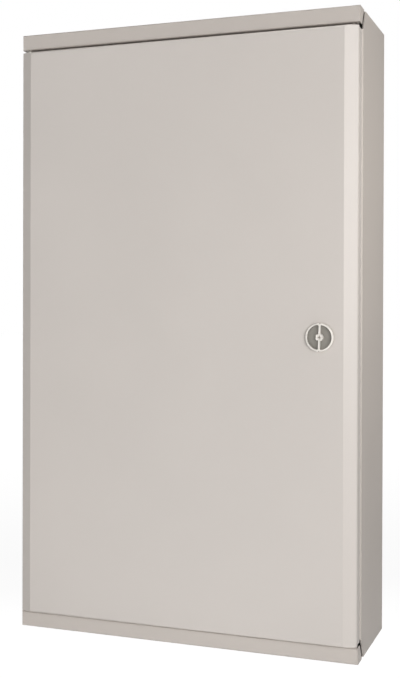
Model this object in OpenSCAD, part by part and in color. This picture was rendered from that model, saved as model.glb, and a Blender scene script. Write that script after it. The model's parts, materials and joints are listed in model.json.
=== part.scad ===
// Steel wall enclosure for rows of circuit modules.
// X runs to the right, Y from the door to the wall, Z up. The origin is the middle
// of the four wall fixings, on the back face. Sizes are in millimetres.

/* [Body] */
// Width over the side walls
box_w = 450; // [380:10:620]
// Height over the two end plates
box_h = 780; // [680:10:1000]
// Depth from the wall to the face of the end plates' lips
box_d = 157; // [145:1:220]
// Thickness of the body sheet
sheet_t = 1.2; // [1:0.1:1.6]
// Inside radius of every fold in the body sheet
bend_r = 1.2; // [0.8:0.1:2]
// Height of the lip that each end plate turns down over the door opening
lip_h = 20; // [18:1:30]
// How far the side walls' front flanges lie behind the lips
rebate_d = 20; // [19:1:26]
// Width of the side walls' front flanges
flange_w = 16; // [13:1:22]
// Depth of the hem behind each front flange
hem_d = 8; // [5:1:12]
// Depth of a lip's side return at its free edge
lip_return = 13; // [12:0.5:16]
// Slot between a lip's side return and the side wall
slit_w = 9; // [4:0.5:10]
// How much deeper a lip's side return is at the outer edge than at its free edge
lip_slant = 12; // [0:1:16]
// Height of the end plates' flanges inside the walls
tray_flange = 15; // [10:1:20]
// Diameter of the wall fixing holes
fixing_d = 8; // [6:0.5:10]
// Distance of the wall fixings in from the side walls
fixing_in_x = 50; // [42:1:60]
// Distance of the wall fixings in from the ends
fixing_in_z = 65; // [62:1:85]

/* [Door] */
// Thickness of the door sheet
door_t = 1.5; // [1.2:0.1:2]
// Inside radius of the door's folds
door_bend_r = 1.5; // [1:0.1:2.5]
// How far the door's face stands proud of the lips
door_proud = 8; // [7:0.5:12]
// Width of the sloping edge down each side of the door
bevel_w = 17; // [12:1:26]
// Depth of the sloping edge
bevel_d = 7; // [4:0.5:7]
// Gap from the door's side to the plane of the side wall
door_side_gap = 0.75; // [0.5:0.25:1.5]
// Gap above the door
door_top_gap = 4; // [3:0.5:7]
// Gap below the door
door_bottom_gap = 1.5; // [1.5:0.5:5]
// Gap between the door's side hem and the front flange
door_back_gap = 3.5; // [3:0.5:5]
// Width of the hem turned in along each side of the door
door_hem = 10; // [6:1:12]
// Depth of the door's top and bottom returns behind the lip face
door_return = 14; // [12:1:17]

/* [Hinge] */
// Diameter of the hinge pins
pin_d = 5; // [4:0.5:6]
// Radial clearance round a pin that turns or slides
pin_clear = 0.1; // [0.05:0.05:0.2]
// Distance of the hinge axis in from the side wall's outer face
hinge_in = 7.5; // [7:0.5:9]
// Distance of the hinge axis behind the lip face
hinge_back = 7; // [6.5:0.5:8]
// How far the sprung upper pin draws down to free the door
pin_travel = 9; // [8:0.5:12]
// How far the pins reach past the lips' inner returns
pin_reach = 3; // [2:0.5:5]
// Length of the spring under the upper pin's collar
spring_l = 17; // [14:1:24]
// Wire thickness of the spring
spring_wire = 0.8; // [0.6:0.1:1]
// Turns of the spring
spring_turns = 7; // [5:1:9]

/* [Lock] */
// Distance of the lock in from the right-hand side wall's outer face
lock_in = 45; // [44:1:60]
// Height of the lock above the middle of the enclosure
lock_z = -2.5; // [-100:0.5:100]
// Diameter of the turning handle
handle_d = 34; // [30:1:38]
// Width of the handle's rim
handle_rim = 2; // [1.8:0.1:3.5]
// Thickness of the handle's grip bar
grip_t = 1.9; // [1.8:0.1:4]
// How far the handle stands proud of the door
handle_proud = 4; // [3.5:0.5:8]
// Depth of the finger recess below the door's face
recess_d = 0.5; // [0:0.5:5]
// Width of the hub at the middle of the grip bar
hub_w = 8.2; // [7:0.2:10]
// Height of the hub
hub_h = 7; // [6.8:0.2:9]
// Diameter of the key barrel
barrel_d = 5.6; // [5:0.2:5.8]
// Lean of the grip bar from upright when unlocked, in degrees
grip_lean = 2; // [0:1:5]
// Thickness of the cam
cam_t = 2.5; // [2:0.5:3]
// Width of the cam
cam_w = 16; // [12:1:20]
// How far the cam's tip reaches behind the front flange when locked
cam_grip = 7; // [5:1:9]
// Free space between the cam and the back of the front flange
cam_clear = 0.5; // [0.3:0.1:1]

/* [Module rows] */
// Width of one module
module_w = 17.5; // [17.5:0.5:18]
// Distance between the rows of modules, where the height allows it
row_pitch = 150; // [125:5:150]
// Free height above the top row's cell and below the bottom row's
end_space = 90; // [80:5:110]
// Free width between the module rows and each side wall
side_space = 60; // [56:1:80]
// Height of a module window in the inner cover
window_h = 46; // [45:0.5:48]
// Depth from a rail's face to the front of the inner cover
cover_above_rail = 46; // [44:1:48]
// Free space between the front flanges' face and the inner cover
cover_back = 13; // [12:1:16]
// Thickness of the rail uprights
upright_t = 1.5; // [1.2:0.1:2]
// Gap between the inner cover and the hems of the front flanges
cover_gap = 4; // [3:0.5:6]

/* [Cable entry] */
// Width of the cable opening in each end plate
entry_w = 300; // [240:10:320]
// Depth of the cable opening in each end plate
entry_d = 76; // [66:2:80]
// How far a gland plate laps under the edge of its opening
gland_lap = 14; // [12:1:16]
// Thickness of the gland plates
gland_t = 1.5; // [1.2:0.1:2]

/* [Terminals] */
// Number of ways on each terminal bar
bar_ways = 14; // [8:1:16]
// Distance between the ways
way_pitch = 12; // [10:1:14]
// Distance of each terminal bar in from its end plate
bar_in = 75; // [70:5:90]

/* [Hidden] */

body_paint = "#c0bab2";
door_paint = "#cec8c2";
zinc = "#b9bdc0";
galvanised = "#aab0b3";
brass = "#c9a552";
dark_grey = "#85817b";
off_white = "#eeeae2";
black = "#2b2b2b";
blue = "#3f6fa8";
nylon = "#e8e6df";

// Segments in each fold or rounded corner
fold_steps = 5;
$fn = 48;

// Places that the pieces share
top_z = box_h / 2;
lip_z = top_z - lip_h;
lip_y = -box_d;
edge_y = lip_y + rebate_d;
notch_y = lip_y + lip_return + slit_w;
corner_relief = 2;
flange_end = lip_z - 4;
outer_r = bend_r + sheet_t;
wall_x = box_w / 2 - sheet_t;
hem_x = box_w / 2 - flange_w;

door_face_y = lip_y - door_proud;
door_x = box_w / 2 - door_side_gap;
door_top = lip_z - door_top_gap;
door_bottom = -lip_z + door_bottom_gap;
door_back_y = edge_y - door_back_gap;
hinge_x = -box_w / 2 + hinge_in;
hinge_y = lip_y + hinge_back;
pin_r = pin_d / 2;

lock_x = box_w / 2 - lock_in;
handle_r = handle_d / 2;
pocket_r = handle_r - handle_rim;
neck_r = pocket_r + 0.7;
handle_y = door_face_y - handle_proud;
recess_y = door_face_y + recess_d;
cam_y = edge_y + sheet_t + cam_clear;

cover_y = edge_y + cover_back;
cover_x = hem_x - cover_gap;
cover_z = lip_z - 12;
rail_y = cover_y + cover_above_rail;
rail_w = 35;
rail_depth = 7.5;
rail_t = 1;
upright_front = rail_y + rail_depth;
modules = floor((box_w - 2 * side_space) / module_w);
row_w = modules * module_w;
rows = 4;
pitch = min(row_pitch, (box_h - 2 * end_space) / rows);
row_z = [for (i = [0 : rows - 1]) ((rows - 1) / 2 - i) * pitch];
upright_x = row_w / 2 + 14;
upright_h = rows * pitch;
upright_flange = 18;
floor_y = -sheet_t;
earth_stud_x = wall_x - 30;

// ---- Shared shapes ----

// Points of an arc about c, from angle a to angle b
function arc(c, r, a, b, n = fold_steps) =
  [for (i = [0 : n]) let (q = a + (b - a) * i / n) c + r * [cos(q), sin(q)]];

function unit(v) = v / norm(v);
function left_of(v) = [-v.y, v.x];
function heading(v) = atan2(v.y, v.x);
function turn(u, v) = atan2(u.x * v.y - u.y * v.x, u * v);
function reversed(list) = [for (i = [len(list) - 1 : -1 : 0]) list[i]];

// One face of a folded sheet whose middle plane follows a path of fold lines:
// side is 1 for the face to the left of the path, -1 for the right, 0 for the middle
function fold_face(path, t, r, side) = [
  for (i = [0 : len(path) - 1])
    let (
      ends = i == 0 || i == len(path) - 1,
      u = unit(i == 0 ? path[1] - path[0] : path[i] - path[i - 1]),
      bend = ends ? 0 : turn(u, unit(path[i + 1] - path[i])),
      s = sign(bend),
      mid = r + t / 2,
      centre = path[i] - mid * tan(abs(bend) / 2) * u + s * mid * left_of(u),
      start = heading(-s * left_of(u))
    )
    each ends
      ? [path[i] + side * t / 2 * left_of(u)]
      : arc(centre, mid - s * side * t / 2, start, start + bend)
];

// Cross-section of a sheet folded along a path
module folded_sheet(path, t, r)
  polygon(concat(fold_face(path, t, r, 1), reversed(fold_face(path, t, r, -1))));

// The same path with its mirror image joined on, for a section symmetrical about Y
function both_sides(path) = concat([for (p = path) [-p.x, p.y]], reversed(path));

// Outline of a rectangle with rounded corners
function rounded_rect(w, h, r) = concat(
  arc([w / 2 - r, h / 2 - r], r, 0, 90), arc([r - w / 2, h / 2 - r], r, 90, 180),
  arc([r - w / 2, r - h / 2], r, 180, 270), arc([w / 2 - r, r - h / 2], r, 270, 360));

// Extrudes an outline drawn in Y and Z across the width, centred on X
module across(w) rotate([90, 0, 90]) translate([0, 0, -w / 2]) linear_extrude(w) children();

// Extrudes an outline drawn in X and Z towards the wall, starting at depth y
module deep(y, d) translate([0, y + d, 0]) rotate([90, 0, 0]) linear_extrude(d) children();

// A round bar or hole along Y, from depth y towards the wall
module rod_y(x, y, z, r, l) translate([x, y, z]) rotate([-90, 0, 0]) cylinder(r = r, h = l);

module left_and_right() {
  children();
  mirror([1, 0, 0]) children();
}

module top_and_bottom() {
  children();
  mirror([0, 0, 1]) children();
}

// Slot with round ends along X, cut through along Y
module slot_y(x, y, z, l, w, d) {
  translate([x - (l - w) / 2, y, z - w / 2]) cube([l - w, d, w]);
  for (s = [-1, 1]) rod_y(x + s * (l - w) / 2, y, z, w / 2, d);
}

// Screw along +Y with a slotted round head whose underside is at y
module slotted_screw(x, y, z, head_r, head_h, shank_r, shank_l, slot_w) {
  difference() {
    rod_y(x, y - head_h, z, head_r, head_h);
    translate([x - head_r, y - head_h - 1, z - slot_w / 2])
      cube([2 * head_r, 1 + head_h * 0.45, slot_w]);
  }
  rod_y(x, y, z, shank_r, shank_l);
}

// Hexagon nut along Y, with its bore, starting at y
module nut_y(x, y, z, flats, bore_r, h)
  difference() {
    translate([x, y, z]) rotate([-90, 0, 0]) cylinder(r = flats / sqrt(3), h = h, $fn = 6);
    rod_y(x, y - 1, z, bore_r, h + 2);
  }

// ---- Body ----

// Folded wrap of the back and both side walls, with hemmed front flanges
module back_box() {
  side = box_w / 2 - sheet_t / 2;
  hem = hem_x + sheet_t / 2;
  front = edge_y + sheet_t / 2;
  half = [[hem, front + hem_d], [hem, front], [side, front], [side, -sheet_t / 2]];
  latch_h = 2 * (cam_w + 18);
  color(body_paint)
    difference() {
      translate([0, 0, -top_z]) linear_extrude(box_h) folded_sheet(both_sides(half), sheet_t, bend_r);
      top_and_bottom() {
        // The side walls lean back at the corners to clear the lips' side returns
        across(box_w + 2)
          polygon([[edge_y - 1, flange_end], [notch_y, flange_end], [notch_y, lip_z],
            [notch_y + lip_slant, top_z], [notch_y + lip_slant, top_z + 1], [edge_y - 1, top_z + 1]]);
        // The front flanges stop short of the lips
        left_and_right()
          translate([hem_x - 1, edge_y - 1, flange_end])
            cube([flange_w - outer_r + 1, hem_d + 4, top_z - flange_end + 1]);
      }
      // The hem on the lock side is cut away for the cam to swing past
      translate([hem_x - 1, edge_y + sheet_t, lock_z - latch_h / 2])
        cube([sheet_t + bend_r + 2, hem_d + 2, latch_h]);
      for (x = [-1, 1], z = [-1, 1])
        rod_y(x * (box_w / 2 - fixing_in_x), floor_y - 1, z * (top_z - fixing_in_z),
          fixing_d / 2, sheet_t + 2);
    }
}

// Outline of the lip hood from the side, inset by the sheet for its inner face
function hood_side(inset, low, high) = concat(
  arc([lip_y + outer_r, top_z - outer_r], outer_r - inset, 90, 180),
  arc([lip_y + outer_r, lip_z + outer_r], outer_r - inset, 180, 270),
  [[low, lip_z + inset], [high, top_z - inset]]);

// Outline of the lip hood from above
function hood_plan(inset, back) = concat(
  arc([outer_r - box_w / 2, lip_y + outer_r], outer_r - inset, 180, 270),
  arc([box_w / 2 - outer_r, lip_y + outer_r], outer_r - inset, 270, 360),
  [[box_w / 2 - inset, back], [inset - box_w / 2, back]]);

// Front of an end plate: the lip, its side returns cut back on the slant, and its inner return
module lip_hood() {
  low = lip_y + lip_return;
  high = low + lip_slant;
  difference() {
    intersection() {
      across(box_w + 2) polygon(hood_side(0, low, high));
      translate([0, 0, lip_z - 1]) linear_extrude(lip_h + 2) polygon(hood_plan(0, high + 1));
    }
    intersection() {
      across(box_w + 2) polygon(hood_side(sheet_t, high + 1, high + 1));
      translate([0, 0, lip_z - 1]) linear_extrude(lip_h + 2) polygon(hood_plan(sheet_t, high + 2));
    }
    // The inner return stops short of the side returns, as the folds need
    left_and_right()
      translate([box_w / 2 - sheet_t - corner_relief, lip_y + outer_r, lip_z - 1])
        cube([corner_relief, lip_return, sheet_t + 1.1]);
    // It stops at the slit too, so the hood is open behind it
    translate([sheet_t - box_w / 2, low - 1, lip_z - 1])
      cube([box_w - 2 * sheet_t, lip_slant + 3, sheet_t + 2]);
  }
}

// Rear of an end plate: flanged on three sides to sit inside the back box
module end_tray() {
  half = wall_x - 0.1;
  start = notch_y + lip_slant + 2;
  rear = floor_y - 0.1;
  low = top_z - tray_flange;
  difference() {
    intersection() {
      translate([0, rear, 0]) rotate([90, 0, 0]) linear_extrude(rear - start)
        polygon(concat([[half, low]], arc([half - outer_r, top_z - outer_r], outer_r, 0, 90),
          arc([outer_r - half, top_z - outer_r], outer_r, 90, 180), [[-half, low]]));
      across(2 * half + 2)
        polygon(concat([[rear, low]], arc([rear - outer_r, top_z - outer_r], outer_r, 0, 90),
          [[start, top_z], [start, low]]));
      // The rear corners clear the folds of the back box
      translate([0, 0, low]) linear_extrude(tray_flange)
        polygon(concat([[half, start]], arc([half - outer_r, rear - outer_r], outer_r, 0, 90),
          arc([outer_r - half, rear - outer_r], outer_r, 90, 180), [[-half, start]]));
    }
    intersection() {
      translate([0, rear - sheet_t, 0]) rotate([90, 0, 0]) linear_extrude(rear - start)
        polygon(concat([[half - sheet_t, low - 1]],
          arc([half - outer_r, top_z - outer_r], bend_r, 0, 90),
          arc([outer_r - half, top_z - outer_r], bend_r, 90, 180), [[sheet_t - half, low - 1]]));
      across(2 * half + 2)
        polygon(concat([[rear - sheet_t, low - 1]],
          arc([rear - outer_r, top_z - outer_r], bend_r, 0, 90),
          [[start - 1, top_z - sheet_t], [start - 1, low - 1]]));
    }
  }
  // The plate that joins the tray to the hood
  translate([-half, notch_y - slit_w, top_z - sheet_t])
    cube([2 * half, slit_w + lip_slant + 5, sheet_t]);
}

entry_y = (edge_y + lip_slant + floor_y) / 2;
gland_w = entry_w + 2 * gland_lap;
gland_d = entry_d + 2 * gland_lap;
gland_points = [for (x = [-1, 0, 1], y = [-1, 1])
  [x * (gland_w - gland_lap) / 2, entry_y + y * (gland_d - gland_lap) / 2]];
gland_screw_r = 2;

// Top end plate; the bottom one is its mirror image
module end_plate()
  color(body_paint)
    difference() {
      union() {
        lip_hood();
        end_tray();
      }
      translate([0, entry_y, top_z - sheet_t - 1])
        linear_extrude(sheet_t + 2) polygon(rounded_rect(entry_w, entry_d, 4));
      for (p = gland_points)
        translate([p.x, p.y, top_z - sheet_t - 1]) cylinder(r = gland_screw_r + 0.15, h = sheet_t + 2);
      left_and_right()
        translate([hinge_x, hinge_y, lip_z - 1]) cylinder(r = pin_r + pin_clear, h = sheet_t + 2);
    }

// Part-punched ring that lets a cable hole be knocked out
module knockout(x, y, d)
  translate([x, y, top_z - sheet_t - gland_t * 0.55])
    difference() {
      cylinder(r = d / 2, h = gland_t);
      translate([0, 0, -1]) cylinder(r = d / 2 - 0.8, h = gland_t + 2);
    }

// Top gland plate, under the end plate's cable opening; the bottom one is its mirror image
module gland_plate()
  color(galvanised)
    difference() {
      translate([0, entry_y, top_z - sheet_t - gland_t])
        linear_extrude(gland_t) polygon(rounded_rect(gland_w, gland_d, 4));
      for (p = gland_points)
        translate([p.x, p.y, top_z - sheet_t - gland_t - 1])
          cylinder(r = gland_screw_r + 0.1, h = gland_t + 2);
      for (i = [-1 : 1]) knockout(i * entry_w / 3, entry_y - entry_d / 2 + 21, 32);
      for (i = [-2 : 2]) knockout(i * entry_w / 5.5, entry_y + entry_d / 2 - 15, i % 2 == 0 ? 20 : 25);
    }

module gland_plate_screws()
  color(zinc)
    top_and_bottom()
      for (p = gland_points)
        translate([p.x, p.y, 0]) {
          difference() {
            translate([0, 0, top_z]) cylinder(r = 4, h = 2.4);
            translate([-5, -0.6, top_z + 1.4]) cube([10, 1.2, 2]);
          }
          translate([0, 0, top_z - 8]) cylinder(r = gland_screw_r, h = 8);
        }

// ---- Hinge ----

pin_head_r = min(pin_r + 2, hinge_back - outer_r - 0.1);

// Fixed lower pin, riveted into the bottom lip's inner return
module lower_hinge_pin()
  color(zinc)
    translate([hinge_x, hinge_y, 0]) {
      translate([0, 0, -lip_z - sheet_t - 2]) cylinder(r = pin_head_r, h = 2);
      translate([0, 0, -lip_z - sheet_t])
        cylinder(r = pin_r, h = sheet_t + door_bottom_gap + door_t + pin_reach + 4);
    }

// Nylon washer that carries the door
module hinge_washer()
  color(nylon)
    translate([hinge_x, hinge_y, -lip_z])
      difference() {
        cylinder(r = pin_r + 2, h = door_bottom_gap - 0.3);
        translate([0, 0, -1]) cylinder(r = pin_r + 0.15, h = door_bottom_gap + 2);
      }

guide_z = door_top - door_t - spring_l - 2.5;
pin_top = lip_z + sheet_t + pin_reach;
tail_r = 7;
tail_l = 16;
tail_z = guide_z - door_t - pin_travel - tail_r;

// Sprung upper pin, with a tail to draw it down by
module upper_hinge_pin()
  color(zinc)
    translate([hinge_x, hinge_y, 0]) {
      translate([0, 0, tail_z + tail_r]) cylinder(r = pin_r, h = pin_top - tail_z - tail_r);
      translate([tail_r, 0, tail_z + tail_r]) rotate([90, 0, 0])
        rotate([0, 0, 180]) rotate_extrude(angle = 90) translate([tail_r, 0]) circle(r = pin_r);
      translate([tail_r, 0, tail_z]) rotate([0, 90, 0]) cylinder(r = pin_r, h = tail_l);
    }

collar_h = 1.2;
collar_top = door_top - door_t - 0.3;
collar_r = pin_r + 1.7;

// Collar clipped on the upper pin, for the spring to push
module pin_collar()
  color(zinc)
    translate([hinge_x, hinge_y, collar_top - collar_h])
      difference() {
        cylinder(r = collar_r, h = collar_h);
        translate([0, 0, -1]) cylinder(r = pin_r + 0.05, h = collar_h + 2);
      }

// Coil spring between the guide and the collar
module pin_spring() {
  low = guide_z + spring_wire / 2 + 0.1;
  rise = collar_top - collar_h - guide_z - spring_wire - 0.2;
  coil_r = pin_r + spring_wire / 2 + 0.35;
  per_turn = 14;
  sides = 6;
  rings = spring_turns * per_turn;
  points = [
    for (i = [0 : rings], k = [0 : sides - 1])
      let (a = 360 * i / per_turn, b = 360 * k / sides, r = coil_r + spring_wire / 2 * cos(b))
      [hinge_x + r * cos(a), hinge_y + r * sin(a), low + rise * i / rings + spring_wire / 2 * sin(b)]
  ];
  skin = [
    for (i = [0 : rings - 1], k = [0 : sides - 1])
      let (a = i * sides + k, b = i * sides + (k + 1) % sides)
      each [[a, a + sides, b], [b, a + sides, b + sides]]
  ];
  first = [for (k = [0 : sides - 1]) k];
  last = [for (k = [sides - 1 : -1 : 0]) rings * sides + k];
  color(zinc) polyhedron(points, concat(skin, [first], [last]));
}

// Angle on the inside of the door's side return that guides the upper pin
module pin_guide() {
  side = -door_x + door_t;
  y0 = hinge_y - 4.5;
  depth = 9;
  leg = 12;
  color(zinc)
    difference() {
      union() {
        translate([side, y0, guide_z - door_t]) cube([hinge_in + 3.5, depth, door_t]);
        translate([side, y0, guide_z - leg]) cube([1, depth, leg]);
      }
      translate([hinge_x, hinge_y, guide_z - door_t - 1]) cylinder(r = pin_r + pin_clear, h = door_t + 2);
    }
}

// Rubber buffers on the lock-side flange, where the door's hem closes
module door_buffers()
  color(black)
    for (z = [-1, 1])
      rod_y(box_w / 2 - outer_r - 6, door_back_y + 0.3, z * (lip_z - 60), 5, door_back_gap - 0.3);

// ---- Door ----

function door_half(back) = [
  [door_x - door_t / 2, back],
  [door_x - door_t / 2, door_face_y + bevel_d + door_t / 2],
  [box_w / 2 - bevel_w, door_face_y + door_t / 2]
];

// Outline of the hole that keys the lock housing against turning
module lock_hole(clear)
  intersection() {
    circle(r = neck_r + clear);
    square([2 * (neck_r - 0.5 + clear), 3 * neck_r], center = true);
  }

// Folded pan with sloping sides, side hems, and top and bottom returns
module door() {
  outer = door_bend_r + door_t;
  side_y = door_face_y + bevel_d + outer;
  depth = door_back_y - door_face_y;
  hem_y = door_back_y - door_t / 2;
  section = both_sides(concat([[door_x - door_hem, hem_y]], door_half(hem_y)));
  return_y = lip_y + door_return;
  h = door_top - door_bottom;
  color(door_paint)
    difference() {
      intersection() {
        union() {
          translate([0, 0, door_bottom]) linear_extrude(h) folded_sheet(section, door_t, door_bend_r);
          for (z = [door_bottom, door_top - door_t])
            translate([0, 0, z]) linear_extrude(door_t)
              polygon(fold_face(both_sides(door_half(return_y)), door_t, door_bend_r, 0));
        }
        across(box_w)
          polygon(concat(
            arc([door_face_y + outer, door_top - outer], outer, 90, 180),
            arc([door_face_y + outer, door_bottom + outer], outer, 180, 270),
            [[door_face_y + depth + 1, door_bottom], [door_face_y + depth + 1, door_top]]));
      }
      for (z = [door_bottom, door_top - door_t])
        left_and_right()
          translate([hinge_x, hinge_y, z - 1]) cylinder(r = pin_r + pin_clear, h = door_t + 2);
      // The side folds stop short of the top and bottom returns
      for (z = [door_bottom - 1, door_top - corner_relief])
        left_and_right()
          translate([door_x - door_t, side_y, z])
            cube([door_t + 1, door_back_y + 1 - side_y, corner_relief + 1]);
      translate([lock_x, 0, lock_z]) deep(door_face_y - 1, door_t + 2) lock_hole(0.15);
    }
}

// ---- Lock ----

barrel_l = 12;
key_w = 1.1;
key_l = 4.6;
neck_l = 9;
housing_y = cam_y - 5;
shaft_r = 4.5;
square_w = 6.4;

// Moulded cup fixed in the door, with the bearing for the handle's shaft
module lock_housing()
  color(dark_grey)
    difference() {
      translate([lock_x, 0, lock_z]) {
        rod_y(0, door_face_y - 1, 0, handle_r - 0.4, 1);
        deep(door_face_y, door_t + neck_l) lock_hole(0);
        rod_y(0, door_face_y, 0, shaft_r + 3, housing_y - door_face_y);
      }
      rod_y(lock_x, door_face_y - 2, lock_z, pocket_r, recess_d + 2);
      rod_y(lock_x, door_face_y - 2, lock_z, shaft_r + 0.06, housing_y - door_face_y + 4);
    }

// Nut that clamps the housing from inside the door
module lock_nut()
  color(dark_grey)
    nut_y(lock_x, door_face_y + door_t, lock_z, 2 * handle_r + 2, neck_r + 0.2, 5);

// Outline of one finger pocket: a half circle with rounded corners, to the right of the grip
function pocket(r, edge, round_r) =
  let (
    reach = r - round_r,
    x = edge + round_r,
    z = sqrt(reach * reach - x * x),
    a = atan2(z, x)
  )
  concat(
    arc([0, 0], r, -a, a, 24),
    arc([x, z], round_r, a, 180),
    arc([x, -z], round_r, 180, 360 - a));

// Things that turn with the handle, drawn on the lock's axis with the grip upright
module on_lock() translate([lock_x, 0, lock_z]) rotate([0, grip_lean, 0]) children();

// Ring with a grip bar across it, a hub for the key barrel and the shaft behind
module lock_handle() {
  ring_l = handle_proud - 1.2;
  grip_l = recess_y - 0.3 - handle_y;
  notch_w = 2;
  edge_r = 1.2;
  color(off_white)
    on_lock()
      difference() {
        union() {
          // The ring and the top of the bar
          difference() {
            translate([0, handle_y, 0]) rotate([-90, 0, 0]) rotate_extrude()
              union() {
                translate([0, edge_r]) square([handle_r, ring_l - edge_r]);
                square([handle_r - edge_r, edge_r]);
                translate([handle_r - edge_r, edge_r]) circle(r = edge_r);
              }
            for (m = [0, 1])
              mirror([m, 0, 0]) deep(handle_y - 1, ring_l + 2) polygon(pocket(pocket_r, grip_t / 2, 1.6));
            for (s = [-1, 1])
              translate([0, 0, s * handle_r]) deep(handle_y - 1, ring_l + 2)
                rotate(45) square(notch_w, center = true);
          }
          // The bar's deeper part inside the housing's cup
          translate([-grip_t / 2, handle_y + 1, 0.3 - pocket_r])
            cube([grip_t, grip_l - 1, 2 * pocket_r - 0.6]);
          deep(handle_y, grip_l) polygon(rounded_rect(hub_w, hub_h, 1.6));
          rod_y(0, handle_y + grip_l - 0.3, 0, shaft_r, cam_y + 0.1 - handle_y - grip_l);
          translate([-square_w / 2, cam_y - 3, -square_w / 2]) cube([square_w, 3 + cam_t, square_w]);
        }
        rod_y(0, handle_y - 1, 0, barrel_d / 2 + 0.05, barrel_l + 2);
        rod_y(0, cam_y + cam_t - 10, 0, 2, 11);
      }
}

// Barrel in the hub, turned by a cross-shaped key
module key_barrel()
  color(off_white)
    on_lock()
      difference() {
        rod_y(0, handle_y + 0.3, 0, barrel_d / 2, barrel_l);
        translate([-key_w / 2, handle_y - 1, -key_l / 2]) cube([key_w, 7, key_l]);
        translate([-key_l / 2, handle_y - 1, -key_w / 2]) cube([key_l, 7, key_w]);
      }

// Tongue that turns behind the lock-side flange
module lock_cam() {
  reach = lock_in - flange_w + cam_grip - cam_w / 2;
  color(zinc)
    on_lock()
      difference() {
        union() {
          rod_y(0, cam_y, 0, cam_w / 2, cam_t);
          translate([-cam_w / 2, cam_y, 0]) cube([cam_w, cam_t, reach]);
          rod_y(0, cam_y, reach, cam_w / 2, cam_t);
        }
        translate([-square_w / 2 - 0.1, cam_y - 1, -square_w / 2 - 0.1])
          cube([square_w + 0.2, cam_t + 2, square_w + 0.2]);
      }
}

module cam_screw()
  color(zinc)
    on_lock()
      difference() {
        union() {
          rod_y(0, cam_y + cam_t, 0, 5.5, 2.4);
          rod_y(0, cam_y + cam_t - 8, 0, 1.9, 8);
        }
        translate([-6, cam_y + cam_t + 1.4, -0.6]) cube([12, 2, 1.2]);
      }

// ---- Inside ----

stud_z = [for (i = [-1 : 1]) i * (upright_h / 2 - 40)];
stud_x = upright_x + upright_flange / 2 + 1;
rail_screw_x = upright_x - upright_flange / 2 + 1;

// Z-section post that carries the module rails, on the right-hand side
module upright()
  color(galvanised)
    difference() {
      translate([0, 0, -upright_h / 2]) linear_extrude(upright_h)
        folded_sheet([
          [upright_x + upright_flange, floor_y - upright_t / 2],
          [upright_x, floor_y - upright_t / 2],
          [upright_x, upright_front + upright_t / 2],
          [upright_x - upright_flange, upright_front + upright_t / 2]
        ], upright_t, bend_r);
      for (z = stud_z) rod_y(stud_x, floor_y - upright_t - 1, z, 2.7, upright_t + 2);
      for (z = row_z) rod_y(rail_screw_x, upright_front - 1, z, 2.5, upright_t + 2);
      // Ways through for the wiring, between the rows
      for (i = [0 : rows - 2])
        translate([upright_x - 2, (upright_front + floor_y) / 2 - 12, (row_z[i] + row_z[i + 1]) / 2 - 30])
          cube([4, 24, 60]);
    }

module upright_studs()
  color(zinc)
    left_and_right()
      for (z = stud_z) rod_y(stud_x, floor_y - 10, z, 2.5, 10);

module upright_nuts()
  color(zinc)
    left_and_right()
      for (z = stud_z) nut_y(stud_x, floor_y - upright_t - 4, z, 8, 2.6, 4);

// Top-hat rail, 35 by 7.5 mm, with its slots
module module_rail(z) {
  half = rail_w / 2;
  web = 13;
  base = rail_y + rail_depth - rail_t / 2;
  face = rail_y + rail_t / 2;
  length = row_w + 20;
  color(galvanised)
    difference() {
      translate([0, 0, z]) across(length)
        folded_sheet([[face, half], [face, web], [base, web], [base, -web], [face, -web], [face, -half]],
          rail_t, 0.6);
      for (i = [-4 : 4]) slot_y(i * row_w / 10, base - 2, z, 18, 6.2, 4);
      for (s = [-1, 1]) rod_y(s * rail_screw_x, base - 2, z, 2.6, 4);
    }
}

module rail_screws()
  color(zinc)
    left_and_right()
      for (z = row_z)
        slotted_screw(rail_screw_x, rail_y + rail_depth - rail_t, z, 4.5, 2.8, 2.4, 9, 1.2);

bar_l = bar_ways * way_pitch + 24;
bar_h = 12;
bar_t = 9;
bar_lift = 32;
bar_back = floor_y - bar_lift;
neutral_z = top_z - bar_in;
earth_z = -top_z + bar_in;

// Terminal bar at height z: one cross hole and one clamping screw hole for each way
module terminal_bar(z)
  color(brass)
    difference() {
      translate([-bar_l / 2, bar_back - bar_t, z - bar_h / 2]) cube([bar_l, bar_t, bar_h]);
      for (i = [0 : bar_ways - 1])
        let (x = (i - (bar_ways - 1) / 2) * way_pitch) {
          translate([x, bar_back - bar_t / 2 + 1, z - bar_h]) cylinder(r = 2.75, h = 2 * bar_h);
          rod_y(x, bar_back - bar_t - 1, z, 2.1, 4);
        }
      for (s = [-1, 1]) rod_y(s * (bar_l / 2 - 6), bar_back - bar_t - 1, z, 2.1, bar_t + 2);
    }

// Clamping screws of a terminal bar, and the two that hold it to its supports
module terminal_screws(z)
  color(zinc) {
    for (i = [0 : bar_ways - 1])
      slotted_screw((i - (bar_ways - 1) / 2) * way_pitch, bar_back - bar_t, z, 3.4, 2.2, 2, 2.2, 0.9);
    for (s = [-1, 1])
      slotted_screw(s * (bar_l / 2 - 6), bar_back - bar_t, z, 3.8, 2.4, 2, bar_t + 8, 1);
  }

// Moulded stand-offs, stepped to lengthen the surface between bar and box
module neutral_bar_insulators()
  color(blue)
    for (s = [-1, 1])
      difference() {
        union() {
          rod_y(s * (bar_l / 2 - 6), bar_back, neutral_z, 6, bar_lift);
          for (i = [0 : 2]) rod_y(s * (bar_l / 2 - 6), floor_y - 8 - 8 * i, neutral_z, 8, 4);
        }
        rod_y(s * (bar_l / 2 - 6), bar_back - 1, neutral_z, 2.1, 11);
      }

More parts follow.
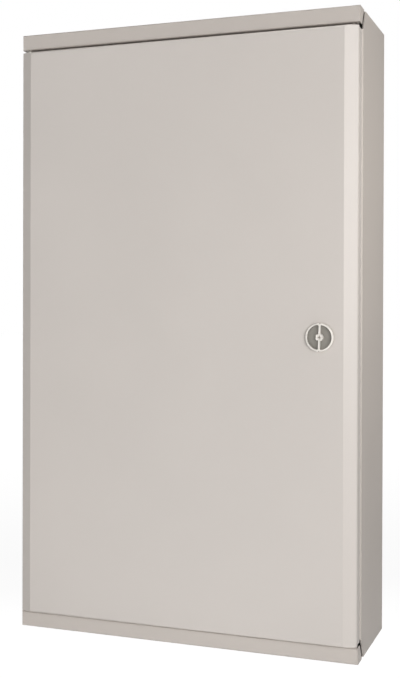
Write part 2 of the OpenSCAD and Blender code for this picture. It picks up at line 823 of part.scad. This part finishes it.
module earth_bar_posts()
  color(zinc)
    for (s = [-1, 1])
      difference() {
        translate([s * (bar_l / 2 - 6), bar_back, earth_z]) rotate([-90, 0, 0])
          cylinder(r = 10 / sqrt(3), h = bar_lift, $fn = 6);
        rod_y(s * (bar_l / 2 - 6), bar_back - 1, earth_z, 2.1, 11);
      }

// Earth stud welded to the floor of a panel at y, pointing to the front or, on the door, to the back
module earth_stud(x, y, z, dir)
  color(zinc) translate([x, y, z]) rotate([90 * dir, 0, 0]) cylinder(r = 3, h = 16);

module earth_nut(x, y, z, dir)
  color(brass)
    translate([x, y, z]) rotate([90 * dir, 0, 0])
      difference() {
        union() {
          cylinder(r = 6.5, h = 1.4);
          translate([0, 0, 1.4]) cylinder(r = 10 / sqrt(3), h = 5, $fn = 6);
        }
        translate([0, 0, -1]) cylinder(r = 3.1, h = 9);
      }

bracket_h = 40;
bracket_z = cover_z - bracket_h / 2 + 2;
bracket_in = box_w / 2 - cover_x + 26;
cover_screw_x = cover_x - 14;
cover_screw_r = 3.4;

// Angles on the side walls that carry the inner cover
module cover_brackets()
  color(galvanised)
    top_and_bottom()
      left_and_right()
        difference() {
          translate([0, 0, bracket_z - bracket_h / 2]) linear_extrude(bracket_h)
            folded_sheet([
              [wall_x - upright_t / 2, cover_y + sheet_t + 22],
              [wall_x - upright_t / 2, cover_y + sheet_t + upright_t / 2],
              [wall_x - bracket_in, cover_y + sheet_t + upright_t / 2]
            ], upright_t, bend_r);
          rod_y(cover_screw_x, cover_y, bracket_z, cover_screw_r + 0.15, sheet_t + upright_t + 2);
        }

// Inner cover: one window to each row, and folded edges between the brackets
module module_cover() {
  half = cover_x - sheet_t / 2;
  fold_z = bracket_z - bracket_h / 2 - 6;
  color(door_paint)
    difference() {
      translate([0, 0, -cover_z]) linear_extrude(2 * cover_z)
        folded_sheet(both_sides([[half, cover_y + 12], [half, cover_y + sheet_t / 2]]), sheet_t, bend_r);
      top_and_bottom()
        translate([-box_w / 2, cover_y + sheet_t, fold_z]) cube([box_w, 14, cover_z]);
      for (z = row_z)
        translate([0, 0, z]) deep(cover_y - 1, sheet_t + 2) polygon(rounded_rect(row_w + 3, window_h, 2));
      for (s = [-1, 1], z = [-1, 1])
        rod_y(s * cover_screw_x, cover_y - 1, z * bracket_z, cover_screw_r + 0.4, sheet_t + 2);
    }
}

module cover_screws()
  color(dark_grey)
    for (s = [-1, 1], z = [-1, 1])
      slotted_screw(s * cover_screw_x, cover_y, z * bracket_z, 7.5, 3.5, cover_screw_r, 11, 2);

// ---- The parts ----

back_box();
end_plate();  // top_end_plate
mirror([0, 0, 1]) end_plate();  // bottom_end_plate
gland_plate();  // top_gland_plate
mirror([0, 0, 1]) gland_plate();  // bottom_gland_plate
gland_plate_screws();
lower_hinge_pin();
hinge_washer();
door_buffers();
mirror([1, 0, 0]) upright();  // left_upright
upright();  // right_upright
upright_studs();
upright_nuts();
module_rail(row_z[0]);  // module_rail_1
module_rail(row_z[1]);  // module_rail_2
module_rail(row_z[2]);  // module_rail_3
module_rail(row_z[3]);  // module_rail_4
rail_screws();
terminal_bar(neutral_z);  // neutral_bar
neutral_bar_insulators();
terminal_screws(neutral_z);  // neutral_bar_screws
terminal_bar(earth_z);  // earth_bar
earth_bar_posts();
terminal_screws(earth_z);  // earth_bar_screws
earth_stud(earth_stud_x, floor_y, earth_z, 1);  // body_earth_stud
earth_nut(earth_stud_x, floor_y, earth_z, 1);  // body_earth_nut
cover_brackets();
module_cover();
cover_screws();
door();
pin_guide();
earth_stud(-earth_stud_x, door_face_y + door_t, earth_z, -1);  // door_earth_stud
earth_nut(-earth_stud_x, door_face_y + door_t, earth_z, -1);  // door_earth_nut
lock_housing();
lock_nut();
upper_hinge_pin();
pin_collar();
pin_spring();
lock_handle();
lock_cam();
cam_screw();
key_barrel();
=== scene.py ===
import json
import math

import bpy
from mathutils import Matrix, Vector

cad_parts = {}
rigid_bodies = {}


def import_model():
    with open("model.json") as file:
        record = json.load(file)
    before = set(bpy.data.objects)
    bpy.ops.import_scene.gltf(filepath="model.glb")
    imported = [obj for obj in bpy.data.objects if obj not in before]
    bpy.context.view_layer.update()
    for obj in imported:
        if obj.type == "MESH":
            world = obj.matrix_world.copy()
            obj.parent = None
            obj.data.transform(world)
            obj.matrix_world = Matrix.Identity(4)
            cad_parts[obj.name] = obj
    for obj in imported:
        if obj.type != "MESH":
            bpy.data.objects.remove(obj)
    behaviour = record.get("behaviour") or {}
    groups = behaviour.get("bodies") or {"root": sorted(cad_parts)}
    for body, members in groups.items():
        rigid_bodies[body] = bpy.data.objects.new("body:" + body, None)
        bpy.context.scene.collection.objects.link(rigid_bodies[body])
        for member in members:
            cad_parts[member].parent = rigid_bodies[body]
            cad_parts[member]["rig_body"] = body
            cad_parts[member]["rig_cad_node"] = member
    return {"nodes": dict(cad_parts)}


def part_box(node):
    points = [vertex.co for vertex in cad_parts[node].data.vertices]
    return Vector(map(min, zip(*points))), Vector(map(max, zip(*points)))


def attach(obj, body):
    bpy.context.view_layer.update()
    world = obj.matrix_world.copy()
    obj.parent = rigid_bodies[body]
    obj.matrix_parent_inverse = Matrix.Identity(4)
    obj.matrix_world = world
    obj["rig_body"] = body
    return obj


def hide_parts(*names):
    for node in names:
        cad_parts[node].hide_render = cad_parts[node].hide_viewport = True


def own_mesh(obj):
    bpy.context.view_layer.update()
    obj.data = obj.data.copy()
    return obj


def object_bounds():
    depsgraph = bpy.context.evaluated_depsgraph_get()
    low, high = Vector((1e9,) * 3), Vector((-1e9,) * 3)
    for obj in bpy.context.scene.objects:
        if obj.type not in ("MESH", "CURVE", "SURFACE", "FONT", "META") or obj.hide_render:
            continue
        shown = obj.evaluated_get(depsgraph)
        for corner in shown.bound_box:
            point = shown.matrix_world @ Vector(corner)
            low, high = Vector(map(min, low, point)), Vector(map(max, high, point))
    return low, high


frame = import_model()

cad_low, cad_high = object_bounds()
nodes = frame["nodes"]
MM = 0.001
WHITE = (1.0, 1.0, 1.0, 1.0)
WARM = (1.0, 0.95, 0.88, 1.0)


# ---- Shader maths ----

# How strongly the white backdrop shows in gloss.
GLOSS_SHARE = 0.3


class Wire:
    """A shader socket that can be used in Python expressions."""

    def __init__(self, graph, socket):
        self.graph = graph
        self.socket = socket

    def math(self, operation, other):
        return self.graph.node("ShaderNodeMath", {"operation": operation}, [self, other])[0]

    def __add__(self, other):
        return self.math("ADD", other)

    __radd__ = __add__

    def __mul__(self, other):
        return self.math("MULTIPLY", other)

    __rmul__ = __mul__

    def step(self, low, high):
        """0 below low, 1 above high, and smooth between."""
        settings = {"interpolation_type": "SMOOTHSTEP"}
        inputs = {"Value": self, "From Min": low, "From Max": high}
        return self.graph.node("ShaderNodeMapRange", settings, inputs)[0]


class Graph:
    """The node tree of one material or of the world."""

    def __init__(self, owner, output="ShaderNodeOutputMaterial"):
        self.owner = bpy.data.materials.new(owner) if isinstance(owner, str) else owner
        self.owner.use_nodes = True
        self.tree = self.owner.node_tree
        self.tree.nodes.clear()
        self.output = self.tree.nodes.new(output)

    def node(self, kind, settings=None, inputs=None):
        """Adds a node and returns its outputs, wrapped; inputs is a list in order or a dict by name."""
        made = self.tree.nodes.new(kind)
        for key, value in (settings or {}).items():
            setattr(made, key, value)
        pairs = inputs.items() if isinstance(inputs, dict) else enumerate(inputs or [])
        for key, value in pairs:
            self.feed(made.inputs[key], value)
        return [Wire(self, socket) for socket in made.outputs if socket.enabled]

    def feed(self, socket, value):
        """Links a wrapped socket, or sets a plain value."""
        if isinstance(value, Wire):
            self.tree.links.new(value.socket, socket)
        else:
            socket.default_value = value

    def place(self):
        """Object coordinates, in metres."""
        return self.node("ShaderNodeTexCoord")[3]

    def stretched(self, scale):
        """Object coordinates scaled along each axis; a small scale draws a pattern out."""
        return self.node("ShaderNodeMapping", {}, {"Vector": self.place(), "Scale": scale})[0]

    def noise(self, scale, detail, rough=0.5, at=None):
        inputs = {"Vector": at or self.place(), "Scale": scale, "Detail": detail, "Roughness": rough}
        return self.node("ShaderNodeTexNoise", {}, inputs)[0]

    def mix(self, factor, first, second):
        """Blends two colours; a Mix node takes them at its sockets 6 and 7."""
        inputs = {0: factor, 6: first, 7: second}
        return self.node("ShaderNodeMix", {"data_type": "RGBA"}, inputs)[0]

    def bump(self, height, distance):
        """A normal tilted by height, where 1 stands for distance in metres."""
        inputs = {"Height": height, "Distance": distance, "Strength": 1.0}
        return self.node("ShaderNodeBump", {}, inputs)[0]

    def backdrop_rays(self):
        """How much of the backdrop a ray shows: all to the camera and through glass, a share in gloss."""
        rays = self.node("ShaderNodeLightPath")
        camera, glossy, transmission = rays[0], rays[3], rays[6]
        return camera.math("MAXIMUM", glossy * GLOSS_SHARE).math("MAXIMUM", transmission)

    def close(self, shader):
        """Links the shader that the material or the world ends in."""
        self.tree.links.new(shader.socket, self.output.inputs["Surface"])
        return self.owner

    def finish(self, **inputs):
        """Closes the material with a Principled shader; names are its sockets' with _ for a space."""
        named = {key.replace("_", " "): value for key, value in inputs.items()}
        return self.close(self.node("ShaderNodeBsdfPrincipled", {}, named)[0])


def srgb(r, g, b):
    """Linear colour from 0 to 255 values."""
    def linear(v):
        v /= 255
        return v / 12.92 if v <= 0.04045 else ((v + 0.055) / 1.055) ** 2.4
    return (linear(r), linear(g), linear(b), 1.0)


def scaled(colour, k):
    """The same colour, k times as bright."""
    return (colour[0] * k, colour[1] * k, colour[2] * k, 1.0)


# ---- Finishes ----

def powder_coat(name, colour):
    """Satin powder coat: a faint orange peel over a fine grain."""
    g = Graph(name)
    cloud = g.noise(scale=5.0, detail=2.0)
    peel = g.noise(scale=420.0, detail=2.0)
    grain = g.noise(scale=2600.0, detail=2.0)
    base = g.mix(cloud.step(0.3, 0.7), scaled(colour, 0.985), scaled(colour, 1.015))
    normal = g.bump(peel + grain * 0.25, 0.00006)
    rough = 0.40 + cloud * 0.05 + grain * 0.04
    return g.finish(Base_Color=base, Roughness=rough, Normal=normal)


def galvanised():
    """Hot-dip zinc on sheet, with its spangle."""
    g = Graph("galvanised_sheet")
    depth, tone = g.node("ShaderNodeTexVoronoi", {}, {"Vector": g.place(), "Scale": 190.0})[:2]
    shade = g.node("ShaderNodeSeparateColor", {}, [tone])[0]
    drawn = g.noise(scale=60.0, detail=4.0, at=g.stretched((8.0, 8.0, 0.6)))
    base = g.mix(shade * 0.7 + drawn * 0.3, srgb(150, 154, 156), srgb(196, 199, 200))
    rough = 0.36 + shade * 0.16 + drawn * 0.08
    normal = g.bump(depth + drawn * 0.3, 0.00004)
    return g.finish(Base_Color=base, Metallic=0.9, Roughness=rough, Normal=normal)


def plated(name, low, high, rough):
    """Bright plated steel with a faint yellow and blue passivate."""
    g = Graph(name)
    film = g.noise(scale=90.0, detail=3.0)
    scratch = g.noise(scale=900.0, detail=2.0, at=g.stretched((1.0, 0.15, 1.0)))
    base = g.mix(film.step(0.35, 0.65), low, high)
    normal = g.bump(scratch, 0.00002)
    return g.finish(Base_Color=base, Metallic=0.95, Roughness=rough + scratch * 0.12, Normal=normal)


def brass():
    """Drawn brass with lines along its length."""
    g = Graph("drawn_brass")
    lines = g.noise(scale=700.0, detail=3.0, at=g.stretched((0.03, 1.0, 1.0)))
    patina = g.noise(scale=35.0, detail=3.0)
    base = g.mix(patina.step(0.3, 0.75), srgb(208, 184, 122), srgb(188, 160, 102))
    normal = g.bump(lines, 0.00003)
    return g.finish(Base_Color=base, Metallic=1.0, Roughness=0.24 + lines * 0.16, Normal=normal)


def moulded(name, colour, rough, grain_depth=0.00004):
    """Moulded plastic with an eroded grain."""
    g = Graph(name)
    grain = g.noise(scale=1500.0, detail=3.0, rough=0.6)
    flow = g.noise(scale=30.0, detail=2.0)
    base = g.mix(flow.step(0.3, 0.7), scaled(colour, 0.96), scaled(colour, 1.04))
    return g.finish(Base_Color=base, Roughness=rough + grain * 0.12, Normal=g.bump(grain, grain_depth))


def rubber():
    """Black rubber with a little dust on it."""
    g = Graph("black_rubber")
    dust = g.noise(scale=220.0, detail=4.0, rough=0.7)
    base = g.mix(dust.step(0.45, 0.8), srgb(38, 38, 38), srgb(66, 64, 62))
    return g.finish(Base_Color=base, Roughness=0.72 + dust * 0.15, Normal=g.bump(dust, 0.00005))


body_coat = powder_coat("body_powder_coat", srgb(196, 188, 181))
door_coat = powder_coat("door_powder_coat", srgb(207, 200, 194))
zinc_sheet = galvanised()
zinc_plate = plated("zinc_plated_steel", srgb(190, 192, 190), srgb(206, 204, 194), 0.26)
bar_brass = brass()
white_plastic = moulded("white_handle_plastic", srgb(236, 231, 224), 0.30, 0.00002)
grey_plastic = moulded("grey_cup_plastic", srgb(137, 133, 126), 0.42)
blue_plastic = moulded("blue_insulator_plastic", srgb(62, 108, 160), 0.38)
washer_nylon = moulded("nylon", srgb(228, 226, 216), 0.4)
buffer_rubber = rubber()

finishes = {
    "back_box": body_coat, "top_end_plate": body_coat, "bottom_end_plate": body_coat,
    "door": door_coat, "module_cover": door_coat,
    "top_gland_plate": zinc_sheet, "bottom_gland_plate": zinc_sheet,
    "left_upright": zinc_sheet, "right_upright": zinc_sheet, "cover_brackets": zinc_sheet,
    "module_rail_1": zinc_sheet, "module_rail_2": zinc_sheet,
    "module_rail_3": zinc_sheet, "module_rail_4": zinc_sheet,
    "neutral_bar": bar_brass, "earth_bar": bar_brass,
    "body_earth_nut": bar_brass, "door_earth_nut": bar_brass,
    "lock_handle": white_plastic, "key_barrel": white_plastic,
    "lock_housing": grey_plastic, "lock_nut": grey_plastic, "cover_screws": grey_plastic,
    "neutral_bar_insulators": blue_plastic, "hinge_washer": washer_nylon, "door_buffers": buffer_rubber,
}
for name, node in nodes.items():
    node.data.materials.clear()
    node.data.materials.append(finishes.get(name, zinc_plate))


# ---- Making and finishing pieces ----

# Points closer than JOIN become one, and so do faces within FLAT degrees of each other.
JOIN = 0.01 * MM
FLAT = 0.5
# Steps in each turn of a wound piece.
TURN_STEPS = 28


def selected(piece):
    """Makes this the one piece that operators act on."""
    bpy.ops.object.select_all(action="DESELECT")
    bpy.context.view_layer.objects.active = piece
    piece.select_set(True)


def modify(piece, kind, **settings):
    """Adds a modifier and applies it."""
    modifier = piece.modifiers.new(kind.lower(), kind)
    for key, value in settings.items():
        setattr(modifier, key, value)
    selected(piece)
    bpy.ops.object.modifier_apply(modifier=modifier.name)


def edit(piece):
    """Opens a piece for editing with all of it selected."""
    selected(piece)
    bpy.ops.object.mode_set(mode="EDIT")
    bpy.ops.mesh.select_all(action="SELECT")


def close_skin(piece):
    """Joins what touches, fills the open ends and turns every face outwards."""
    edit(piece)
    bpy.ops.mesh.remove_doubles(threshold=JOIN)
    bpy.ops.mesh.fill_holes(sides=0)
    bpy.ops.mesh.normals_make_consistent(inside=False)
    bpy.ops.object.mode_set(mode="OBJECT")


def put(piece, place, turn=(0.0, 0.0, 0.0)):
    """Moves a finished piece to its place and leaves its origin at the middle of the frame."""
    piece.rotation_euler = turn
    piece.location = place
    selected(piece)
    bpy.ops.object.transform_apply(location=True, rotation=True, scale=True)


def smooth(piece, angle):
    """Smooth shading over every edge that turns by less than angle, in degrees."""
    selected(piece)
    bpy.ops.object.shade_smooth_by_angle(angle=math.radians(angle))


def stands_for(piece, body, node):
    """Gives a piece its finish and its body, in place of the node that it is a finer form of."""
    piece.data.materials.clear()
    piece.data.materials.append(finishes.get(node, zinc_plate))
    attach(piece, body)
    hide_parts(node)


def softened(name, node, body, width, segments=2, angle=35, clamp=True):
    """A finer copy of a node: flat faces whole, curves smooth, edges rounded by width in mm.

    An edge that turns by more than angle, in degrees, is rounded, or stays sharp at width 0.
    """
    selected(nodes[node])
    bpy.ops.object.duplicate()
    piece = bpy.context.object
    piece.name = name
    piece.parent = None
    # The copy is a new piece, so it doesn't keep the frame's marks.
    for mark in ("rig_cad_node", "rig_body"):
        del piece[mark]
    edit(piece)
    bpy.ops.mesh.remove_doubles(threshold=JOIN)
    bpy.ops.mesh.dissolve_limited(angle_limit=math.radians(FLAT))
    bpy.ops.object.mode_set(mode="OBJECT")
    if width > 0:
        modify(piece, "BEVEL", width=width * MM, segments=segments, limit_method="ANGLE",
               angle_limit=math.radians(angle), use_clamp_overlap=clamp)
    smooth(piece, angle)
    modify(piece, "WEIGHTED_NORMAL", mode="FACE_AREA", weight=100, keep_sharp=True)
    stands_for(piece, body, node)


def smooth_sheet(name, node, body):
    """A finer copy of a folded sheet, with its flat faces whole and its folds smooth."""
    softened(name, node, body, width=0, angle=25)


# ---- The pin's spring ----

SPRING_WIRE = 0.8 * MM
WIRE_SIDES = 10
OPEN_TURNS = 5
# The closed turns lie a hair apart, so that the wire never runs into itself.
CLOSED_PITCH = 1.04 * SPRING_WIRE


def wound_wire(radius, start, pitch, turns):
    """A length of the spring's wire wound about the upright axis, open at its ends."""
    bpy.ops.object.select_all(action="DESELECT")
    turned = (math.pi / 2, 0.0, 0.0)
    bpy.ops.mesh.primitive_circle_add(vertices=WIRE_SIDES, radius=SPRING_WIRE / 2, rotation=turned)
    piece = bpy.context.object
    put(piece, (0.0, 0.0, 0.0), turned)
    edit(piece)
    bpy.ops.transform.translate(value=(radius, 0.0, start))
    bpy.ops.object.mode_set(mode="OBJECT")
    modify(piece, "SCREW", screw_offset=pitch, iterations=turns,
           steps=TURN_STEPS, render_steps=TURN_STEPS)
    return piece


def pin_spring():
    """Coil spring with its end turns closed."""
    low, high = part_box("pin_spring")
    radius = (high.x - low.x - SPRING_WIRE) / 2
    first = low.z + SPRING_WIRE / 2
    last = high.z - SPRING_WIRE / 2
    open_pitch = (last - first - 2 * CLOSED_PITCH) / OPEN_TURNS
    parts = [
        wound_wire(radius, first, CLOSED_PITCH, 1),
        wound_wire(radius, first + CLOSED_PITCH, open_pitch, OPEN_TURNS),
        wound_wire(radius, last - CLOSED_PITCH, CLOSED_PITCH, 1),
    ]
    selected(parts[0])
    for part in parts[1:]:
        part.select_set(True)
    bpy.ops.object.join()
    spring = bpy.context.object
    spring.name = "pin_return_spring"
    close_skin(spring)
    put(spring, ((low.x + high.x) / 2, (low.y + high.y) / 2, 0.0))
    smooth(spring, 50)
    stands_for(spring, "door", "pin_spring")
    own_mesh(spring)


pin_spring()


# ---- Threaded studs ----

THREAD_PITCH = 1.0 * MM


def threaded_stud(name, node, body, tip):
    """A stud with a real thread, cut square; tip is 1 where it points to the wall, -1 to the front."""
    low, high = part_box(node)
    radius = (high.x - low.x) / 2
    length = high.y - low.y
    # A square on its corner, one pitch high, loses its outer corner and winds into the groove.
    bpy.ops.object.select_all(action="DESELECT")
    side = THREAD_PITCH * math.sqrt(0.5)
    bpy.ops.mesh.primitive_plane_add(size=side, location=(radius, 0.0, -THREAD_PITCH),
                                     rotation=(math.pi / 2, math.pi / 4, 0.0))
    stud = bpy.context.object
    stud.name = name
    bpy.ops.object.transform_apply(location=True, rotation=True, scale=True)
    edit(stud)
    bpy.ops.mesh.select_all(action="DESELECT")
    bpy.ops.object.mode_set(mode="OBJECT")
    outermost = max(stud.data.vertices, key=lambda v: v.co.x)
    outermost.select = True
    bpy.ops.object.mode_set(mode="EDIT")
    bpy.ops.mesh.delete(type="VERT")
    bpy.ops.object.mode_set(mode="OBJECT")
    # It winds from a turn below the root to past the tip, and the cuts take off what is over.
    turns = int(length / THREAD_PITCH) + 2
    modify(stud, "SCREW", screw_offset=THREAD_PITCH, iterations=turns,
           steps=TURN_STEPS, render_steps=TURN_STEPS)
    edit(stud)
    bpy.ops.mesh.remove_doubles(threshold=JOIN)
    upright = (0.0, 0.0, 1.0)
    bpy.ops.mesh.bisect(plane_co=(0.0, 0.0, 0.0), plane_no=upright, use_fill=True, clear_inner=True)
    bpy.ops.mesh.select_all(action="SELECT")
    bpy.ops.mesh.bisect(plane_co=(0.0, 0.0, length), plane_no=upright, use_fill=True, clear_outer=True)
    bpy.ops.object.mode_set(mode="OBJECT")
    close_skin(stud)
    root = low.y if tip > 0 else high.y
    put(stud, ((low.x + high.x) / 2, root, (low.z + high.z) / 2), (-tip * math.pi / 2, 0.0, 0.0))
    smooth(stud, 40)
    stands_for(stud, body, node)


threaded_stud("body_earth_thread", "body_earth_stud", "enclosure", -1)
threaded_stud("door_earth_thread", "door_earth_stud", "door", 1)


# ---- Pieces with softened edges ----

softened("turning_handle", "lock_handle", "handle", 0.2, clamp=False)
softened("lock_cup", "lock_housing", "door", 0.3)
softened("barrel", "key_barrel", "key_barrel", 0.15)
softened("clamping_nut", "lock_nut", "door", 0.5)
softened("swinging_cam", "lock_cam", "handle", 0.3)
softened("cam_fixing_screw", "cam_screw", "handle", 0.25)
softened("pin_guide_angle", "pin_guide", "door", 0.2)
softened("bent_hinge_pin", "upper_hinge_pin", "upper_pin", 0.5)
softened("spring_collar", "pin_collar", "upper_pin", 0.15)
softened("bearing_washer", "hinge_washer", "enclosure", 0.2)
softened("fixed_hinge_pin", "lower_hinge_pin", "enclosure", 0.4)
softened("closing_buffers", "door_buffers", "enclosure", 0.8, segments=3)
softened("cover_fixing_screws", "cover_screws", "enclosure", 0.6, segments=3)
softened("rail_fixing_screws", "rail_screws", "enclosure", 0.4, segments=3)
softened("end_plate_screws", "gland_plate_screws", "enclosure", 0.12, clamp=False)
softened("body_earth_flange_nut", "body_earth_nut", "enclosure", 0.4, segments=3)
softened("door_earth_flange_nut", "door_earth_nut", "door", 0.4, segments=3)
softened("upright_fixing_nuts", "upright_nuts", "enclosure", 0.3)
softened("upright_fixing_studs", "upright_studs", "enclosure", 0.3)
softened("neutral_terminal_screws", "neutral_bar_screws", "enclosure", 0.2)
softened("earth_terminal_screws", "earth_bar_screws", "enclosure", 0.2)
softened("bar_insulators", "neutral_bar_insulators", "enclosure", 0.6, segments=3)
softened("bar_posts", "earth_bar_posts", "enclosure", 0.3)


# ---- Folded sheets, with smooth folds ----

smooth_sheet("hinged_door", "door", "door")
smooth_sheet("wrapped_box", "back_box", "enclosure")
smooth_sheet("top_end", "top_end_plate", "enclosure")
smooth_sheet("bottom_end", "bottom_end_plate", "enclosure")
smooth_sheet("shock_cover", "module_cover", "enclosure")
smooth_sheet("cover_support_angles", "cover_brackets", "enclosure")
for side in ("left", "right"):
    smooth_sheet(f"{side}_rail_upright", f"{side}_upright", "enclosure")
for end in ("top", "bottom"):
    smooth_sheet(f"{end}_knockout_plate", f"{end}_gland_plate", "enclosure")
for row in (1, 2, 3, 4):
    smooth_sheet(f"top_hat_rail_{row}", f"module_rail_{row}", "enclosure")


# ---- Floor, light and camera ----

PAPER = (0.72, 0.715, 0.71, 1.0)
FLOOR_DROP = 0.7
FLOOR_SIZE = 60.0
# The floor's share of glow over lit paper, up to NEAR metres from its middle and beyond FAR.
NEAR, FAR = 1.5, 7.0
GLOW_NEAR, GLOW_FAR = 0.8, 0.877
FLOOR_GLOW = 1.14
SKY_HIGH, SKY_LOW = 0.11, 0.05
HORIZON_BLEND = 0.35


def backdrop():
    """Floor that looks white, keeps a soft shadow and glows more far off, past the lamps' reach."""
    g = Graph("floor_paper")
    shown = g.backdrop_rays()
    away = g.node("ShaderNodeVectorMath", {"operation": "LENGTH"}, [g.place()])[0]
    share = GLOW_NEAR + away.step(NEAR, FAR) * (GLOW_FAR - GLOW_NEAR)
    paper = g.node("ShaderNodeBsdfDiffuse", {}, {"Color": PAPER})[0]
    glow = g.node("ShaderNodeEmission", {}, {"Color": WHITE, "Strength": FLOOR_GLOW})[0]
    return g.close(g.node("ShaderNodeMixShader", {}, [shown * share, paper, glow])[0])


bpy.ops.object.select_all(action="DESELECT")
bpy.ops.mesh.primitive_plane_add(size=FLOOR_SIZE, location=(0.0, 0.0, cad_low.z - FLOOR_DROP))
floor = bpy.context.object
floor.name = "floor"
floor.data.materials.append(backdrop())


def studio_world():
    """White where the backdrop shows; else soft light, stronger and less warm from above."""
    world = bpy.data.worlds.new("studio")
    bpy.context.scene.world = world
    g = Graph(world, "ShaderNodeOutputWorld")
    way = g.node("ShaderNodeTexCoord")[0]
    height = g.node("ShaderNodeSeparateXYZ", {}, [way])[2].step(-HORIZON_BLEND, HORIZON_BLEND)
    level = height * (SKY_HIGH - SKY_LOW) + SKY_LOW
    tint = g.mix(height, WARM, WHITE)
    soft = g.node("ShaderNodeBackground", {}, {"Color": tint, "Strength": level})[0]
    white = g.node("ShaderNodeBackground", {}, {"Color": WHITE, "Strength": 1.0})[0]
    g.close(g.node("ShaderNodeMixShader", {}, [g.backdrop_rays(), soft, white])[0])


studio_world()


LAMPS_AIM = Vector((0.0, -80 * MM, 0.0))


def softbox(name, azimuth, elevation, distance, size, watts, colour=WHITE):
    """Square area light; azimuth 0 is straight in front and 90 to the right, lengths in metres."""
    a, e = math.radians(azimuth), math.radians(elevation)
    away = Vector((math.sin(a) * math.cos(e), -math.cos(a) * math.cos(e), math.sin(e)))
    light = bpy.data.lights.new(name, "AREA")
    light.size = size
    light.energy = watts
    light.color = colour[:3]
    lamp = bpy.data.objects.new(name, light)
    lamp.location = LAMPS_AIM + away * distance
    lamp.rotation_euler = (-away).to_track_quat("-Z", "Y").to_euler()
    bpy.context.scene.collection.objects.link(lamp)


# Each line gives azimuth, elevation, distance, size and watts.
softbox("key", 40, 8, 2.6, 1.5, 40.5)
softbox("high_right", 55, 30, 1.6, 0.8, 1.6)
softbox("near_right", 84, 22, 0.65, 0.3, 0.55, WARM)
softbox("left_fill", -40, 14, 2.6, 1.2, 6.4)
softbox("high_left", -22, 28, 2.0, 0.6, 1.3)
softbox("low_fill", -15, -18, 2.2, 0.8, 7.6)
softbox("overhead", 180, 74, 2.4, 0.6, 10.0)
softbox("left_rear", -132, 10, 2.6, 1.2, 24.0)
softbox("rear", -170, 12, 2.8, 1.2, 24.0)

camera_data = bpy.data.cameras.new("camera")
camera = bpy.data.objects.new("camera", camera_data)
bpy.context.scene.collection.objects.link(camera)
bpy.context.scene.camera = camera
camera.location = (0.488, -1.414, 0.0395)
camera.rotation_euler = (math.radians(90 - 0.37), math.radians(-0.16), math.radians(20.2))
camera_data.lens = 57.23
camera_data.sensor_width = 36.0
camera_data.shift_y = -0.0448
camera_data.clip_start = 0.05
camera_data.clip_end = 100.0

bpy.context.scene.view_settings.view_transform = "Standard"
